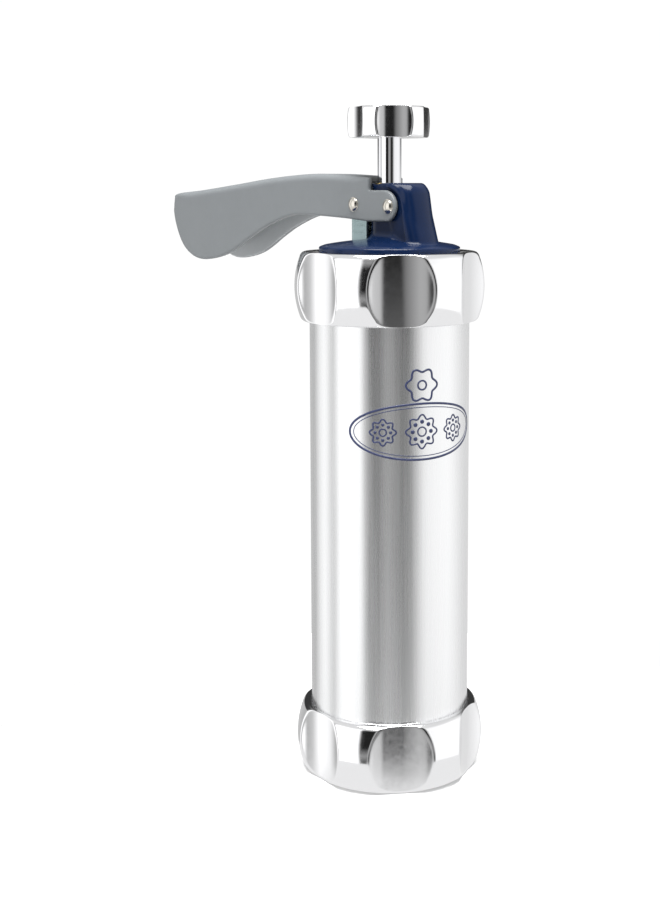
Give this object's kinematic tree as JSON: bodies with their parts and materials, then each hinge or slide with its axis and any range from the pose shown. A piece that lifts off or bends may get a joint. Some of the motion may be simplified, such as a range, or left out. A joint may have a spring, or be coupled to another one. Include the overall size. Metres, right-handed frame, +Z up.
{
  "type": "cookie press",
  "caption": "Hand-held cookie press: aluminium barrel between two scalloped ring nuts, navy plastic head with a squeeze lever and ratchet, toothed rod with knob, piston and forming disc.",
  "frame": {"origin": "on the barrel's axis, in the face of the bottom ring that the press stands on", "axes": "+Z up along the barrel and the rod, the lever points to -X and its pivot pin lies along Y"},
  "size_m": [0.1413, 0.0634, 0.2294],
  "materials": {
    "tube": "satin, fine lengthwise grain, with a navy printed emblem",
    "polished": "mirror polished",
    "knob": "mirror polished",
    "navy_plastic": "smooth, low gloss",
    "lever_grey": "matte grey die casting",
    "zinc": "zinc plated sheet",
    "rivet": "nickel plated",
    "rod_chrome": "polished",
    "steel": "bare steel",
    "spring_steel": "oiled",
    "bush": "turned",
    "disc": "satin stamped sheet",
    "seal": "smooth"
  },
  "bodies": {
    "barrel": {"barrel_tube": "tube"},
    "head": {"head_housing": "navy_plastic", "head_base": "navy_plastic", "head_screws": "zinc", "upper_bush": "bush", "lower_bush": "bush", "pivot_pin": "rivet", "return_spring": "spring_steel", "pawl_spring": "spring_steel", "pawl_plug": "zinc"},
    "top_ring": {"top_ring": "polished"},
    "lever": {"lever": "lever_grey", "link_pin": "rivet"},
    "link": {"drive_link": "zinc"},
    "drive_plate": {"drive_plate": "steel"},
    "hold_pawl": {"hold_pawl": "steel"},
    "piston": {"piston_disc": "disc", "piston_seal": "seal"},
    "push_rod": {"push_rod": "rod_chrome", "knob": "knob", "piston_washer": "steel", "piston_clip": "spring_steel"},
    "disc": {"forming_disc": "disc"},
    "bottom_ring": {"bottom_ring": "polished"}
  },
  "joints": [
    {"name": "top_ring_turn", "type": "hinge", "parent": "head", "child": "top_ring", "pos_m": [0, 0, 0.169], "axis": [0, 0, 1], "range_deg": [0, 1082]},
    {"name": "head_lift", "type": "slide", "parent": "barrel", "child": "head", "axis": [0, 0, 1], "range_m": [0, 0.009]},
    {"name": "bottom_ring_turn", "type": "hinge", "parent": "disc", "child": "bottom_ring", "pos_m": [0, 0, 0.0118], "axis": [0, 0, -1], "range_deg": [0, 1082]},
    {"name": "disc_drop", "type": "slide", "parent": "barrel", "child": "disc", "axis": [0, 0, -1], "range_m": [0, 0.009]},
    {"name": "lever_squeeze", "type": "hinge", "parent": "head", "child": "lever", "pos_m": [0.0076, 0, 0.1962], "axis": [0, -1, 0], "range_deg": [0, 15], "stiffness_Nm_per_rad": 0.6, "springref_deg": -14.32},
    {"name": "link_swing", "type": "hinge", "parent": "lever", "child": "link", "pos_m": [-0.009, 0, 0.1968], "axis": [0, 1, 0], "range_deg": [0, 15.1]},
    {"name": "plate_stroke", "type": "slide", "parent": "head", "child": "drive_plate", "axis": [0, 0, -1], "range_m": [0, 0.0045], "deforming": ["return_spring"]},
    {"name": "pawl_retract", "type": "slide", "parent": "head", "child": "hold_pawl", "axis": [-1, 0, 0], "range_m": [0, 0.0012], "stiffness_N_per_m": 800, "springref_m": -0.0012, "deforming": ["pawl_spring"]},
    {"name": "piston_travel", "type": "slide", "parent": "head", "child": "piston", "axis": [0, 0, 1], "range_m": [-0.0112, 0.12]},
    {"name": "knob_turn", "type": "hinge", "parent": "piston", "child": "push_rod", "pos_m": [0, 0, 0.1], "axis": [0, 0, 1], "continuous": true}
  ],
  "couplings": [
    {"joint": "top_ring_turn", "follows": "head_lift", "rad_per_m": 2094.4},
    {"joint": "bottom_ring_turn", "follows": "disc_drop", "rad_per_m": 2094.4},
    {"joint": "link_swing", "follows": "lever_squeeze", "ratio": 1},
    {"joint": "plate_stroke", "follows": "lever_squeeze", "m_per_rad": 0.016411}
  ]
}
